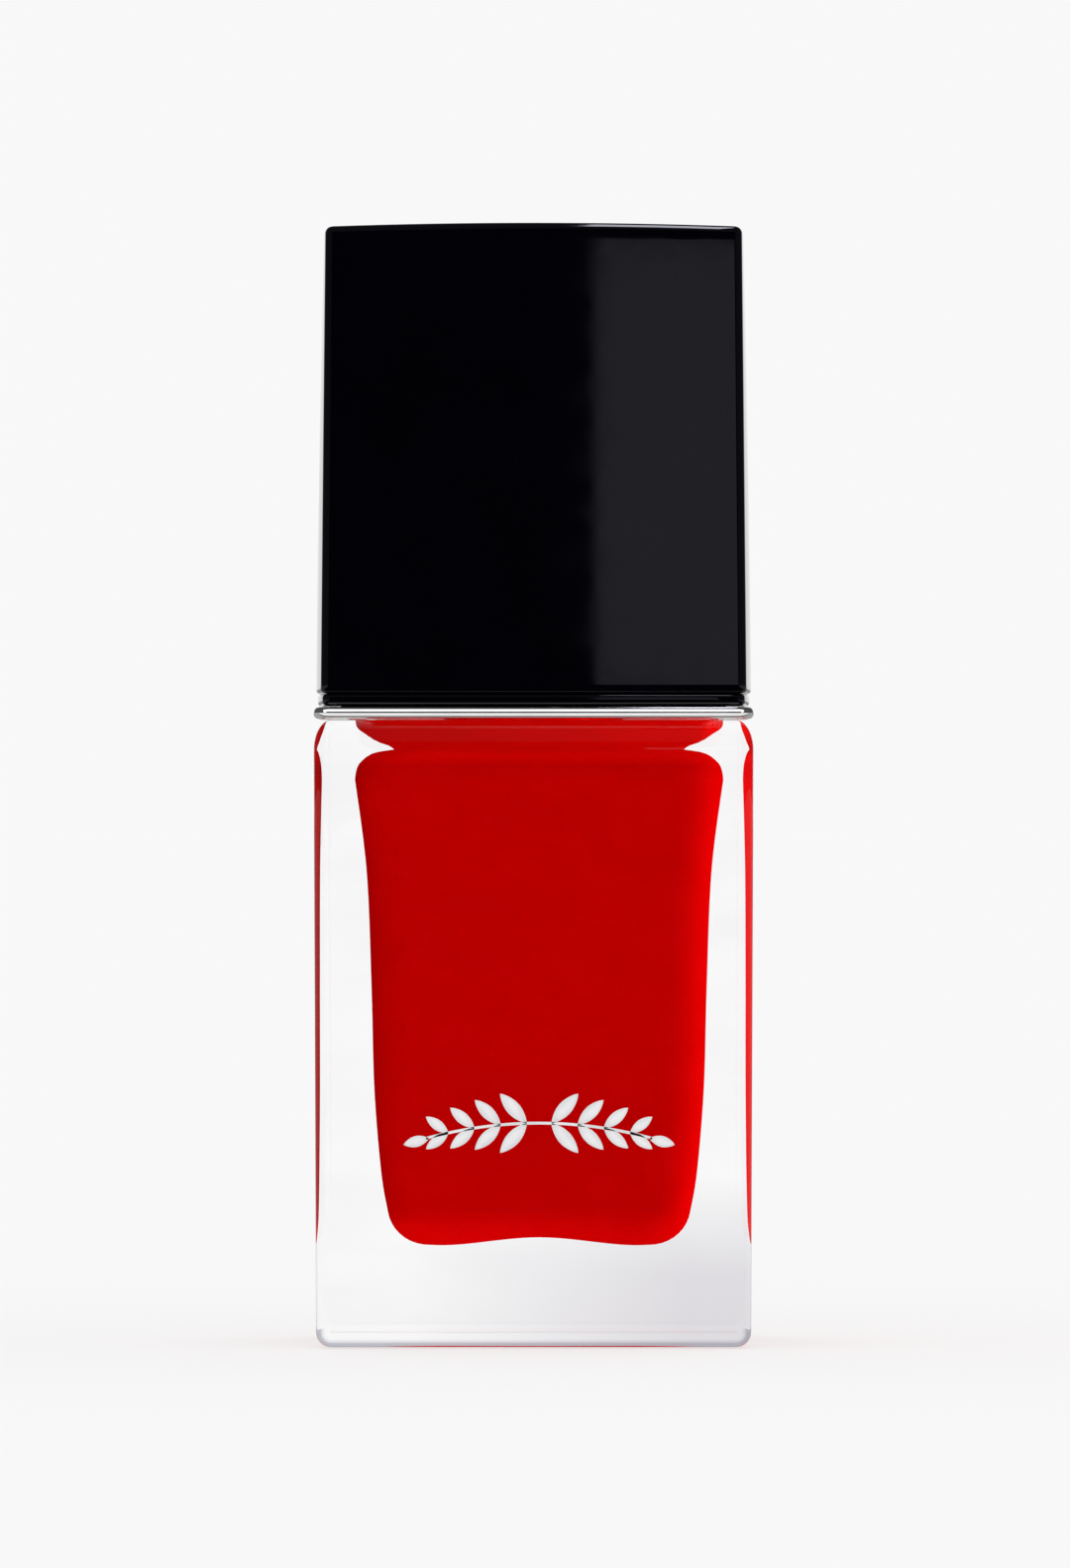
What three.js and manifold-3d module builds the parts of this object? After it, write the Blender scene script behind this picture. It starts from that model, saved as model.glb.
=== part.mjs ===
// Nail polish bottle: a thick-walled rectangular glass bottle filled with lacquer, closed by a round
// screw cap that carries the brush, under a rectangular black overcap with a bright metal collar.
//
// Millimetres, +Z up. The origin is the centre of the base, on the surface that the bottle stands on.
// +X is to the right of somebody who faces the bottle, and the front of the bottle faces -Y.

import * as THREE from "three";
import { mergeVertices } from "three/addons/utils/BufferGeometryUtils.js";
import Module from "manifold-3d";

const wasm = await Module();
wasm.setup();

// ---------------------------------------------------------------- driving dimensions

const BOTTLE = {
  height: 45.55, // base to flat shoulder
  baseHalfX: 15.8,
  shoulderHalfX: 16.0, // the sides lean out a little, the front and the back stand upright
  halfY: 11.0,
  cornerRadius: 1.1, // upright edges
  edgeRadius: 1.1, // edges of the base
  shoulderEdge: 1.3, // how far the shoulder's edges draw in
  shoulderEdgeHeight: 2.15,
};
const RECESS = { halfX: 12.2, halfY: 7.4, cornerRadius: 2.5, depth: 0.5 }; // under the base

const CAVITY = {
  centreX: 0.4, // the blown cavity sits a little off the bottle's middle
  floor: 7.25,
  pushUp: 0.6, // the floor's rise in the middle
  floorRadius: 3.0,
  cornerRadius: 3.0, // upright corners
  midHalfX: 12.2,
  midHalfY: 6.8,
  shoulder: 41.2, // where the walls start to turn in
  top: 44.2,
};
// Half width of the cavity against height: a slight taper to the floor and a flare to the shoulder.
const CAVITY_WALL = new THREE.SplineCurve([
  new THREE.Vector2(11.08, 10.25),
  new THREE.Vector2(11.5, 12.6),
  new THREE.Vector2(12.0, 18.7),
  new THREE.Vector2(12.2, 26.0),
  new THREE.Vector2(12.55, 34.5),
  new THREE.Vector2(13.4, 41.2),
]);

const NECK = {
  rootRadius: 5.7,
  boreRadius: 3.8,
  ledgeRadius: 6.4,
  ledgeTop: BOTTLE.height + 1.2,
  rim: BOTTLE.height + 11.5,
  rimRadius: 0.5,
};
const THREAD = { pitch: 2.12, turns: 1.75, firstBelowRim: 1.9, beadRadius: 0.7 };
const LACQUER_LEVEL = 43.9;
const GAP = 0.3; // between a liquid or a loose piece and what surrounds it
const SEAT = 0.05; // between two pieces that are assembled face to face

const BALL = { radius: 2.25, spread: 7.3 }; // agitator balls, each side of the brush

const COLLAR = {
  bottom: BOTTLE.height + 0.1,
  beadHeight: 0.85,
  halfX: 16.0,
  halfY: 11.0,
  openHalfX: 13.6,
  openHalfY: 8.7,
  lipHeight: 0.35,
};
const SHELL = {
  bottom: COLLAR.bottom + COLLAR.beadHeight + SEAT,
  lipHeight: 0.95, // thin bead between the collar and the body of the shell
  lipHalfX: 15.3,
  lipHalfY: 10.25,
  baseHalfX: 15.42,
  baseHalfY: 10.4,
  topHalfX: 15.12,
  topHalfY: 10.25,
  baseBulge: 0.55, // how far each side swells between its corners
  topBulge: 0.25,
  frontBulge: 0.12,
  cornerRadius: 0.55,
  edgeRadius: 0.5,
  shoulderTop: 81.4,
  crown: 0.3,
};
const POCKET = { halfX: 14.05, halfY: 9.15, cornerRadius: 1.5, ceiling: 79.4 };

const CLOSURE = {
  bottom: BOTTLE.height + 0.7,
  top: 73.5,
  radius: 7.5,
  ribDepth: 0.15,
  ribs: 28,
  boreRadius: 6.85,
  boreTop: NECK.rim + 2.5,
  socketRadius: 5.5,
  socketTop: 72.1,
  threadBead: 0.5,
  threadCentre: 7.02,
};
const STEM = {
  flangeBottom: NECK.rim + 1.1,
  flangeTop: CLOSURE.boreTop - SEAT,
  flangeRadius: 6.3,
  plugTop: CLOSURE.boreTop + 5.7,
  rodTopRadius: 1.85,
  rodTipRadius: 1.55,
  tip: 22.8,
  holeRadius: 1.25,
  holeTop: 27.5,
};
const LINER = { bottom: NECK.rim + SEAT, top: NECK.rim + 1.05, inner: 2.2, outer: 6.2 };
const INSERT = { plateBottom: 46.95, plateTop: 47.9, top: 70.0, inner: 7.92, outer: 8.5 };
const WEB = { halfThickness: 0.5, top: 62.0 };
const LABEL = { halfX: 9.0, halfY: 4.5, cornerRadius: 1.0, thickness: 0.1 };

// ---------------------------------------------------------------- materials

const finish = (color, roughness, metalness = 0) =>
  new THREE.MeshStandardMaterial({ color, roughness, metalness });

const clearGlass = new THREE.MeshStandardMaterial({
  color: 0xf4f8f7,
  roughness: 0.03,
  metalness: 0,
  transparent: true,
  opacity: 0.35,
});
const redLacquer = finish(0xb80004, 0.25);
const blackGloss = finish(0x05050a, 0.06);
const brightMetal = finish(0xd8d6d2, 0.08, 1);
const blackPolypropylene = finish(0x17171a, 0.42);
const whiteFoam = finish(0xf0efea, 0.8);
const blackNylon = finish(0x1c1614, 0.35);
const steel = finish(0xc4c6c8, 0.15, 1);
const insertPlastic = finish(0x202024, 0.5);
const labelFilm = finish(0xf3f2ee, 0.55);

// ---------------------------------------------------------------- geometry helpers

// Points of a rounded rectangle, anticlockwise. Its sides swell by bulgeX and bulgeY between the corners.
function outline({ halfX, halfY, radius, bulgeX = 0, bulgeY = 0, centreX = 0 }) {
  const arcSteps = 4;
  const sideSteps = 4;
  const corners = [
    [1, 1],
    [-1, 1],
    [-1, -1],
    [1, -1],
  ];
  const rounded = corners.flatMap(([signX, signY], corner) => {
    const start = (corner * Math.PI) / 2;
    return Array.from({ length: arcSteps + 1 }, (_, i) => {
      const angle = start + (i / arcSteps) * (Math.PI / 2);
      const x = signX * (halfX - radius) + radius * Math.cos(angle);
      const y = signY * (halfY - radius) + radius * Math.sin(angle);
      return new THREE.Vector2(x, y);
    });
  });
  const points = rounded.flatMap((point, i) => {
    const next = rounded[(i + 1) % rounded.length];
    const isSide = i % (arcSteps + 1) === arcSteps;
    const steps = isSide ? sideSteps : 1;
    return Array.from({ length: steps }, (_, k) => point.clone().lerp(next, k / steps));
  });
  return points.map(
    ({ x, y }) =>
      new THREE.Vector2(
        centreX + x * (1 + (bulgeX / halfX) * (1 - (y / halfY) ** 2)),
        y * (1 + (bulgeY / halfY) * (1 - (x / halfX) ** 2)),
      ),
  );
}

// A closed skin over outlines that have the same number of points, from the lowest to the highest. Each
// end is closed to a point on the axis at bottomZ or topZ, which makes it flat, domed or pushed up.
function loft(levels, bottomZ = levels[0].z, topZ = levels.at(-1).z) {
  const count = levels[0].points.length;
  const centreX = levels[0].centreX ?? 0;
  const vertices = levels.flatMap(({ z, points }) => points.flatMap(({ x, y }) => [x, y, z]));
  vertices.push(centreX, 0, bottomZ, centreX, 0, topZ);
  const bottomPoint = levels.length * count;
  const topPoint = bottomPoint + 1;
  const index = [];
  for (let i = 0; i < count; i++) {
    const next = (i + 1) % count;
    index.push(bottomPoint, next, i);
    for (let level = 0; level + 1 < levels.length; level++) {
      const low = level * count;
      const high = low + count;
      index.push(low + i, low + next, high + next);
      index.push(low + i, high + next, high + i);
    }
    const last = (levels.length - 1) * count;
    index.push(topPoint, last + i, last + next);
  }
  const geometry = new THREE.BufferGeometry();
  geometry.setAttribute("position", new THREE.Float32BufferAttribute(vertices, 3));
  geometry.setIndex(index);
  return geometry;
}

const level = (z, size) => ({ z, points: outline(size), centreX: size.centreX });

const inset = (size, by) => ({
  ...size,
  halfX: size.halfX - by,
  halfY: size.halfY - by,
  radius: Math.max(size.radius - by, 0.2),
});

// Levels of a box whose top and bottom edges are rounded; sizeAt gives the outline at a height. The top edge
// is as tall as it draws in unless topHeight says otherwise, and a barrel shape has middle levels too.
function roundedBoxLevels({ bottom, top, bottomEdge, topEdge, sizeAt, topHeight = topEdge, middles = 0 }) {
  const steps = 4;
  const levels = [];
  for (let i = 0; i <= steps; i++) {
    const angle = (i / steps) * (Math.PI / 2);
    const z = bottom + bottomEdge * (1 - Math.sin(angle));
    levels.unshift(level(z, inset(sizeAt(z), bottomEdge * (1 - Math.cos(angle)))));
  }
  for (let i = 1; i <= middles; i++) {
    const z = THREE.MathUtils.lerp(bottom + bottomEdge, top - topHeight, i / (middles + 1));
    levels.push(level(z, sizeAt(z)));
  }
  for (let i = 0; i <= steps; i++) {
    const angle = (i / steps) * (Math.PI / 2);
    const z = top - topHeight * (1 - Math.sin(angle));
    levels.push(level(z, inset(sizeAt(z), topEdge * (1 - Math.cos(angle)))));
  }
  return levels;
}

function solid(geometry) {
  const bare = geometry.clone();
  bare.deleteAttribute("normal");
  bare.deleteAttribute("uv");
  const merged = mergeVertices(bare, 1e-4);
  return new wasm.Manifold(
    new wasm.Mesh({
      numProp: 3,
      vertProperties: new Float32Array(merged.attributes.position.array),
      triVerts: new Uint32Array(merged.index.array),
    }),
  );
}

function geometryOf(manifold) {
  const { vertProperties, triVerts } = manifold.getMesh();
  const geometry = new THREE.BufferGeometry();
  geometry.setAttribute("position", new THREE.BufferAttribute(new Float32Array(vertProperties), 3));
  geometry.setIndex(new THREE.BufferAttribute(new Uint32Array(triVerts), 1));
  geometry.computeVertexNormals();
  return geometry;
}

// A turned solid about Z. The profile is [radius, height] pairs that run anticlockwise about its section.
function turned(profile, segments = 40) {
  const points = profile.map(([radius, height]) => new THREE.Vector2(radius, height));
  return new THREE.LatheGeometry(points, segments).rotateX(Math.PI / 2);
}

const cylinder = (radius, bottom, top, segments = 40) =>
  turned(
    [
      [0, bottom],
      [radius, bottom],
      [radius, top],
      [0, top],
    ],
    segments,
  );

function prism(size, bottom, top) {
  const shape = new THREE.Shape(outline(size));
  return new THREE.ExtrudeGeometry(shape, { depth: top - bottom, bevelEnabled: false })
    .translate(0, 0, bottom);
}

// A screw thread's centre line. Its ends sink by `sink` towards the wall that the bead grows from.
class ThreadCurve extends THREE.Curve {
  constructor(radius, topZ, pitch, turns, sink) {
    super();
    Object.assign(this, { radius, topZ, pitch, turns, sink });
  }

  getPoint(t, target = new THREE.Vector3()) {
    const runOut = 0.1;
    const nearEnd = Math.max(0, 1 - Math.min(t, 1 - t) / runOut);
    const radius = this.radius - this.sink * nearEnd;
    const angle = -t * this.turns * 2 * Math.PI;
    const z = this.topZ - t * this.turns * this.pitch;
    return target.set(radius * Math.cos(angle), radius * Math.sin(angle), z);
  }
}

function threadBead(curve, beadRadius) {
  const section = new THREE.Shape().absarc(0, 0, beadRadius, 0, 2 * Math.PI, false);
  const steps = Math.round(curve.turns * 28);
  return new THREE.ExtrudeGeometry(section, {
    curveSegments: 4,
    steps,
    extrudePath: curve,
    bevelEnabled: false,
  });
}

// ---------------------------------------------------------------- bottle

function bottleSizeAt(z) {
  const { baseHalfX, shoulderHalfX, halfY, cornerRadius, height } = BOTTLE;
  return {
    halfX: THREE.MathUtils.lerp(baseHalfX, shoulderHalfX, z / height),
    halfY,
    radius: cornerRadius,
  };
}

function cavitySize(halfX, by = 0) {
  const halfY = CAVITY.midHalfY + (halfX - CAVITY.midHalfX) / 2;
  const size = { halfX, halfY, radius: CAVITY.cornerRadius, centreX: CAVITY.centreX };
  return inset(size, by);
}

// The blown inside of the bottle, or the same shape drawn in by a gap all round.
function cavity(gap = 0) {
  const steps = 4;
  const floor = CAVITY.floor + gap;
  const wallStart = CAVITY_WALL.getPoint(0);
  const levels = [];
  // Floor: pushed up in the middle, then a rounded edge up to the wall.
  const flat = cavitySize(wallStart.x, gap + CAVITY.floorRadius);
  levels.push(level(floor + 0.2, { ...flat, halfX: flat.halfX * 0.55, halfY: flat.halfY * 0.55 }));
  for (let i = 0; i <= steps; i++) {
    const angle = (i / steps) * (Math.PI / 2);
    const z = floor + CAVITY.floorRadius * (1 - Math.cos(angle));
    const drawnIn = CAVITY.floorRadius * (1 - Math.sin(angle));
    levels.push(level(z, cavitySize(wallStart.x, gap + drawnIn)));
  }
  // Walls.
  const wallSteps = 8;
  for (let i = 1; i <= wallSteps; i++) {
    const { x, y } = CAVITY_WALL.getPoint(i / wallSteps);
    if (y > levels.at(-1).z) levels.push(level(y, cavitySize(x, gap)));
  }
  // Shoulder: turns in, then climbs gently to the neck.
  const wallEnd = CAVITY_WALL.getPoint(1);
  const shoulder = [
    [0.35, 0.4],
    [1.2, 0.62],
    [3.5, 0.75],
    [7.0, 0.92],
  ];
  shoulder.forEach(([drawnIn, rise]) => {
    const z = CAVITY.shoulder + rise * (CAVITY.top - CAVITY.shoulder) - gap;
    const size = cavitySize(wallEnd.x, gap);
    const scale = 1 - drawnIn / wallEnd.x;
    const shrunk = { halfX: size.halfX * scale, halfY: size.halfY * scale };
    levels.push(level(z, { ...size, ...shrunk, radius: size.radius * scale }));
  });
  return solid(loft(levels, floor + CAVITY.pushUp, CAVITY.top - gap));
}

function bottleGlass() {
  const { height } = BOTTLE;
  const outside = loft(
    roundedBoxLevels({
      bottom: 0,
      top: height,
      bottomEdge: BOTTLE.edgeRadius,
      topEdge: BOTTLE.shoulderEdge,
      topHeight: BOTTLE.shoulderEdgeHeight,
      sizeAt: bottleSizeAt,
    }),
  );
  const { rootRadius, ledgeRadius, ledgeTop, rim, rimRadius, boreRadius } = NECK;
  const neck = turned([
    [0, height - 2],
    [ledgeRadius, height - 2],
    [ledgeRadius, ledgeTop - 0.4],
    [ledgeRadius - 0.4, ledgeTop],
    [rootRadius, ledgeTop + 0.3],
    [rootRadius, rim - rimRadius],
    [rootRadius - rimRadius * 0.3, rim - rimRadius * 0.3],
    [rootRadius - rimRadius, rim],
    [0, rim],
  ]);
  const threadTop = rim - THREAD.firstBelowRim;
  const line = new ThreadCurve(rootRadius, threadTop, THREAD.pitch, THREAD.turns, 0.6);
  const bore = turned([
    [0, CAVITY.floor + 20],
    [boreRadius, CAVITY.floor + 20],
    [boreRadius, rim - 0.3],
    [boreRadius + 0.4, rim + 0.1],
    [boreRadius + 0.4, rim + 1],
    [0, rim + 1],
  ]);
  const recess = prism(
    { halfX: RECESS.halfX, halfY: RECESS.halfY, radius: RECESS.cornerRadius },
    -1,
    RECESS.depth,
  );
  const glass = solid(outside)
    .add(solid(neck))
    .add(solid(threadBead(line, THREAD.beadRadius)))
    .subtract(cavity())
    .subtract(solid(bore))
    .subtract(solid(recess));
  return geometryOf(glass);
}

const ballPlace = (side) =>
  new THREE.Vector3(
    CAVITY.centreX + side * BALL.spread,
    0,
    CAVITY.floor + CAVITY.pushUp / 2 + BALL.radius,
  );

// The lacquer fills the cavity. Brush and balls stand in pockets that are open to the top or the floor.
function lacquer() {
  const above = prism({ halfX: 20, halfY: 20, radius: 1 }, LACQUER_LEVEL, 60);
  const rodPocket = cylinder(STEM.rodTopRadius + GAP, STEM.tip - 1, 60, 24);
  let liquid = cavity(GAP).subtract(solid(above)).subtract(solid(rodPocket));
  liquid = liquid.subtract(solid(tuftGeometry(GAP)));
  for (const side of [-1, 1]) {
    const { x, y, z } = ballPlace(side);
    const pocket = new THREE.SphereGeometry(BALL.radius + GAP, 16, 10).translate(x, y, z);
    const drain = cylinder(BALL.radius + GAP, CAVITY.floor - 1, z, 16).translate(x, y, 0);
    liquid = liquid.subtract(solid(pocket)).subtract(solid(drain));
  }
  return geometryOf(liquid);
}

function baseLabel() {
  const size = { halfX: LABEL.halfX, halfY: LABEL.halfY, radius: LABEL.cornerRadius };
  const top = RECESS.depth - SEAT;
  return prism(size, top - LABEL.thickness, top);
}

// ---------------------------------------------------------------- brush cap and brush

function ribbedOutline(radius, depth, ribs, samplesPerRib = 4) {
  const count = ribs * samplesPerRib;
  return Array.from({ length: count }, (_, i) => {
    const angle = (i / count) * 2 * Math.PI;
    const r = radius + depth * Math.cos(ribs * angle);
    return new THREE.Vector2(r * Math.cos(angle), r * Math.sin(angle));
  });
}

function brushCap() {
  const { bottom, top, radius, ribDepth, ribs } = CLOSURE;
  const edge = 0.5;
  const body = new THREE.ExtrudeGeometry(
    new THREE.Shape(ribbedOutline(radius - edge, ribDepth, ribs)),
    {
      depth: top - bottom - 2 * edge,
      bevelThickness: edge,
      bevelSize: edge,
      bevelSegments: 2,
    },
  ).translate(0, 0, bottom + edge);
  const hollow = turned([
    [0, bottom - 1],
    [CLOSURE.boreRadius, bottom - 1],
    [CLOSURE.boreRadius, CLOSURE.boreTop],
    [CLOSURE.socketRadius, CLOSURE.boreTop],
    [CLOSURE.socketRadius, CLOSURE.socketTop],
    [0, CLOSURE.socketTop],
  ]);
  // The cap's thread lies half a pitch below the neck's, and its crest clears the neck's crest.
  const threadTop = NECK.rim - THREAD.firstBelowRim - THREAD.pitch / 2;
  const { threadCentre, threadBead: beadRadius } = CLOSURE;
  const line = new ThreadCurve(threadCentre, threadTop, THREAD.pitch, THREAD.turns, -0.4);
  const bead = solid(threadBead(line, beadRadius)).intersect(
    solid(cylinder(radius - 0.3, bottom, CLOSURE.boreTop)),
  );
  return geometryOf(solid(body).subtract(solid(hollow)).add(bead));
}

function sealingLiner() {
  return turned([
    [LINER.inner, LINER.bottom],
    [LINER.outer, LINER.bottom],
    [LINER.outer, LINER.top],
    [LINER.inner, LINER.top],
    [LINER.inner, LINER.bottom],
  ]);
}

// A hollow plug at the top is pressed into the cap, and the rod ends in a socket for the bristles.
function brushStem() {
  const plugOuter = CLOSURE.socketRadius - SEAT;
  const plugInner = plugOuter - 1.1;
  return turned(
    [
      [0, STEM.holeTop],
      [STEM.holeRadius, STEM.holeTop],
      [STEM.holeRadius, STEM.tip],
      [STEM.rodTipRadius - 0.15, STEM.tip],
      [STEM.rodTipRadius, STEM.tip + 0.3],
      [STEM.rodTopRadius, STEM.flangeBottom - 4],
      [STEM.rodTopRadius, STEM.flangeBottom],
      [STEM.flangeRadius, STEM.flangeBottom],
      [STEM.flangeRadius, STEM.flangeTop],
      [plugOuter, STEM.flangeTop],
      [plugOuter, STEM.plugTop - 0.5],
      [plugOuter - 0.3, STEM.plugTop],
      [plugInner, STEM.plugTop],
      [plugInner, STEM.flangeTop + 1],
      [0, STEM.flangeTop + 1],
    ],
    32,
  );
}

// The bristles: a round root in the stem's socket that fans out to a flat brush with a rounded tip.
function tuftGeometry(grow = 0) {
  const sections = [
    [9.3, 1.2, 0.5],
    [10.0, 2.1, 0.85],
    [11.5, 2.45, 1.0],
    [15.0, 2.3, 1.0],
    [19.0, 1.7, 0.95],
    [STEM.tip, 0.95, 0.95],
    [25.2, 0.95, 0.95],
  ];
  const sides = 20;
  const levels = sections.map(([z, halfX, halfY], i) => {
    const points = Array.from({ length: sides }, (_, k) => {
      const angle = (k / sides) * 2 * Math.PI;
      const x = (halfX + grow) * Math.cos(angle);
      const y = (halfY + grow) * Math.sin(angle);
      return new THREE.Vector2(x, y);
    });
    return { z: i === 0 ? z - grow : z, points };
  });
  return loft(levels, levels[0].z - 0.2);
}

// Flat metal clip that anchors the folded bristles in the socket.
function bristleAnchor() {
  const halfWidth = 0.95;
  const thickness = 0.4;
  const bottom = 25.35;
  const top = STEM.holeTop - 0.3;
  const shape = new THREE.Shape()
    .moveTo(-halfWidth, bottom)
    .lineTo(halfWidth, bottom)
    .lineTo(halfWidth, top - 0.4)
    .lineTo(halfWidth - 0.4, top)
    .lineTo(0.4 - halfWidth, top)
    .lineTo(-halfWidth, top - 0.4)
    .closePath();
  return new THREE.ExtrudeGeometry(shape, { depth: thickness, bevelEnabled: false })
    .translate(0, 0, -thickness / 2)
    .rotateX(Math.PI / 2);
}

// ---------------------------------------------------------------- overcap

function shellSizeAt(z) {
  const bottom = SHELL.bottom + SHELL.lipHeight;
  const t = (z - bottom) / (SHELL.shoulderTop - bottom);
  const between = THREE.MathUtils.lerp;
  return {
    halfX: between(SHELL.baseHalfX, SHELL.topHalfX, t),
    halfY: between(SHELL.baseHalfY, SHELL.topHalfY, t),
    bulgeX: between(SHELL.baseBulge, SHELL.topBulge, t ** 2),
    bulgeY: SHELL.frontBulge,
    radius: SHELL.cornerRadius,
  };
}

function overcapShell() {
  const bodyBottom = SHELL.bottom + SHELL.lipHeight;
  const body = roundedBoxLevels({
    bottom: bodyBottom,
    top: SHELL.shoulderTop,
    bottomEdge: 0.35,
    topEdge: SHELL.edgeRadius,
    sizeAt: shellSizeAt,
    middles: 4,
  });
  // Crown: the top rises gently to its middle.
  const topSize = inset(shellSizeAt(SHELL.shoulderTop), SHELL.edgeRadius);
  for (const scale of [0.75, 0.5, 0.25]) {
    const { halfX, halfY, radius } = topSize;
    const size = {
      ...topSize,
      halfX: halfX * scale,
      halfY: halfY * scale,
      radius: radius * scale,
      bulgeX: 0,
      bulgeY: 0,
    };
    body.push(level(SHELL.shoulderTop + SHELL.crown * (1 - scale ** 2), size));
  }
  const lipSize = () => ({
    halfX: SHELL.lipHalfX,
    halfY: SHELL.lipHalfY,
    bulgeX: SHELL.baseBulge,
    bulgeY: SHELL.frontBulge,
    radius: SHELL.cornerRadius,
  });
  const lip = roundedBoxLevels({
    bottom: SHELL.bottom,
    top: bodyBottom + 0.2,
    bottomEdge: 0.35,
    topEdge: 0.25,
    sizeAt: lipSize,
  });
  const pocketSize = () => ({
    halfX: POCKET.halfX,
    halfY: POCKET.halfY,
    radius: POCKET.cornerRadius,
  });
  const pocket = roundedBoxLevels({
    bottom: SHELL.bottom - 5,
    top: POCKET.ceiling,
    bottomEdge: 0.5,
    topEdge: 1.0,
    sizeAt: pocketSize,
  });
  const shell = solid(loft(body, bodyBottom, SHELL.shoulderTop + SHELL.crown))
    .add(solid(loft(lip)))
    .subtract(solid(loft(pocket)));
  return geometryOf(shell);
}

function collarRing() {
  const beadTop = COLLAR.bottom + COLLAR.beadHeight;
  const beadSize = () => ({
    halfX: COLLAR.halfX,
    halfY: COLLAR.halfY,
    radius: BOTTLE.cornerRadius,
  });
  const edge = COLLAR.beadHeight * 0.45;
  const bead = roundedBoxLevels({
    bottom: COLLAR.bottom,
    top: beadTop,
    bottomEdge: edge,
    topEdge: edge,
    sizeAt: beadSize,
  });
  const lip = prism(
    {
      halfX: POCKET.halfX - SEAT,
      halfY: POCKET.halfY - SEAT,
      radius: POCKET.cornerRadius - SEAT,
    },
    beadTop - 0.3,
    beadTop + COLLAR.lipHeight,
  );
  const opening = prism(
    { halfX: COLLAR.openHalfX, halfY: COLLAR.openHalfY, radius: POCKET.cornerRadius },
    COLLAR.bottom - 1,
    beadTop + 2,
  );
  return geometryOf(solid(loft(bead)).add(solid(lip)).subtract(solid(opening)));
}

// Moulded insert of the overcap: a plate that closes its mouth, and a ribbed sleeve that grips the brush cap.
function overcapInsert() {
  const { plateBottom, plateTop, top, inner, outer } = INSERT;
  const plate = prism(
    {
      halfX: POCKET.halfX - SEAT,
      halfY: POCKET.halfY - SEAT,
      radius: POCKET.cornerRadius - SEAT,
    },
    plateBottom,
    plateTop,
  );
  const gripRibs = 12;
  const grip = new THREE.ExtrudeGeometry(
    new THREE.Shape(ribbedOutline(inner, 0.12, gripRibs, 6)),
    { depth: top - plateBottom + 2, bevelEnabled: false },
  ).translate(0, 0, plateBottom - 1);
  let insert = solid(plate).add(solid(cylinder(outer, plateBottom, top, 48)));
  for (const side of [-1, 1]) {
    const reach = POCKET.halfX - SEAT - (outer - 0.3);
    const height = WEB.top - plateTop + 0.3;
    const web = new THREE.BoxGeometry(reach, 2 * WEB.halfThickness, height).translate(
      side * (outer - 0.3 + reach / 2),
      0,
      plateTop - 0.3 + height / 2,
    );
    insert = insert.add(solid(web));
  }
  return geometryOf(insert.subtract(solid(grip)));
}

// ---------------------------------------------------------------- assembly

const part = new THREE.Group();

function place(name, geometry, material, parent = part, position = null) {
  const mesh = new THREE.Mesh(geometry, material);
  mesh.name = name;
  if (position) mesh.position.copy(position);
  parent.add(mesh);
}

const bottle = new THREE.Group();
place("bottle_glass", bottleGlass(), clearGlass, bottle);
place("lacquer", lacquer(), redLacquer, bottle);
place("base_label", baseLabel(), labelFilm, bottle);
const ball = new THREE.SphereGeometry(BALL.radius, 16, 12);
place("mixing_ball_left", ball, steel, bottle, ballPlace(-1));
place("mixing_ball_right", ball, steel, bottle, ballPlace(1));

const brush = new THREE.Group();
place("sealing_liner", sealingLiner(), whiteFoam, brush);
place("brush_cap", brushCap(), blackPolypropylene, brush);
place("brush_stem", brushStem(), blackPolypropylene, brush);
place("bristle_tuft", tuftGeometry(), blackNylon, brush);
place("bristle_anchor", bristleAnchor(), steel, brush);

const overcap = new THREE.Group();
place("overcap_shell", overcapShell(), blackGloss, overcap);
place("collar_ring", collarRing(), brightMetal, overcap);
place("overcap_insert", overcapInsert(), insertPlastic, overcap);

part.add(bottle, brush, overcap);

export default part;
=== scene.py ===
"""Looks for the nail polish bottle: glass, lacquer, overcap, collar, brush and screw cap."""

import math
import random

import bpy
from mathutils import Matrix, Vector


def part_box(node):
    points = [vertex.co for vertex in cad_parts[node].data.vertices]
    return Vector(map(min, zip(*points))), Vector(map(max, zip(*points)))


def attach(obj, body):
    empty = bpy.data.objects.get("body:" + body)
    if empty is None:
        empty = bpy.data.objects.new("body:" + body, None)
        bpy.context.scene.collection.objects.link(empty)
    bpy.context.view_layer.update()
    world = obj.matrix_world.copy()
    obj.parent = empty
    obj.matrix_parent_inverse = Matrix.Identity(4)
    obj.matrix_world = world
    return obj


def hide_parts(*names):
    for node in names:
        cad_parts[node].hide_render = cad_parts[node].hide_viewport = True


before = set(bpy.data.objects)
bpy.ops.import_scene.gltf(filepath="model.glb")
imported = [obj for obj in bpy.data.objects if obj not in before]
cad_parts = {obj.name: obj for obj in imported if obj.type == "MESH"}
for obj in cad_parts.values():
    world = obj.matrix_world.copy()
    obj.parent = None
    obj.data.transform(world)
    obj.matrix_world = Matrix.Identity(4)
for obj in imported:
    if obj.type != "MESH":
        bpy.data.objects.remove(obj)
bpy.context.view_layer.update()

MM = 0.001
TAU = 2 * math.pi

# ---------------------------------------------------------------- sizes, in millimetres


def node_box(node):
    """Lowest and highest corner of a CAD node, in millimetres."""
    low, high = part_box(node)
    return Vector(low) / MM, Vector(high) / MM


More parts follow.
